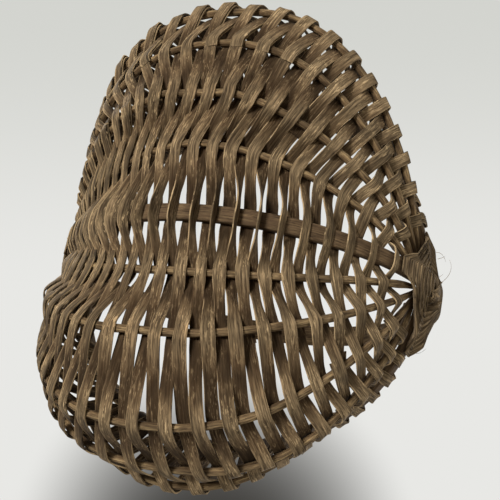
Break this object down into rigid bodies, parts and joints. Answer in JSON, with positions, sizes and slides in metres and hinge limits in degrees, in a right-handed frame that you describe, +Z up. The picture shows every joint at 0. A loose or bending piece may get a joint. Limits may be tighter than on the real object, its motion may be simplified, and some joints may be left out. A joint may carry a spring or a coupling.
{
  "type": "ribbed splint basket",
  "caption": "Weathered ribbed gathering basket of woven oak splint, with a lobe either side of the centre band, round ribs, a bent hoop handle and lashed ears.",
  "frame": {"origin": "centre of the bounding box in X and Y, at the height of the feet under the two lobes", "axes": "+Z up to the top of the handle, X from ear to ear, Y across the two lobes, with the lobe that is lower in the picture on -Y"},
  "size_m": [0.2692, 0.3136, 0.2596],
  "materials": {
    "oak_hoop": "weathered bare oak, worn smooth",
    "oak_rib": "weathered bare oak rod",
    "oak_splint": "weathered riven oak splint",
    "oak_lashing": "darkened oak splint"
  },
  "bodies": {
    "root": {"rim_hoop": "oak_hoop", "handle_hoop": "oak_hoop", "rib_front_1": "oak_rib", "rib_front_2": "oak_rib", "rib_front_3": "oak_rib", "rib_front_4": "oak_rib", "rib_front_5": "oak_rib", "rib_back_1": "oak_rib", "rib_back_2": "oak_rib", "rib_back_3": "oak_rib", "rib_back_4": "oak_rib", "rib_back_5": "oak_rib", "ear_lashing_left": "oak_lashing", "ear_lashing_right": "oak_lashing", "weaver_01": "oak_splint", "weaver_02": "oak_splint", "weaver_03": "oak_splint", "weaver_04": "oak_splint", "weaver_05": "oak_splint", "weaver_06": "oak_splint", "weaver_07": "oak_splint", "weaver_08": "oak_splint", "weaver_09": "oak_splint", "weaver_10": "oak_splint", "weaver_11": "oak_splint", "weaver_12": "oak_splint", "weaver_13": "oak_splint", "weaver_14": "oak_splint", "weaver_15": "oak_splint", "weaver_16": "oak_splint", "weaver_17": "oak_splint", "weaver_18": "oak_splint", "weaver_19": "oak_splint", "weaver_20": "oak_splint", "weaver_21": "oak_splint", "weaver_22": "oak_splint", "weaver_23": "oak_splint", "weaver_24": "oak_splint"}
  },
  "joints": []
}
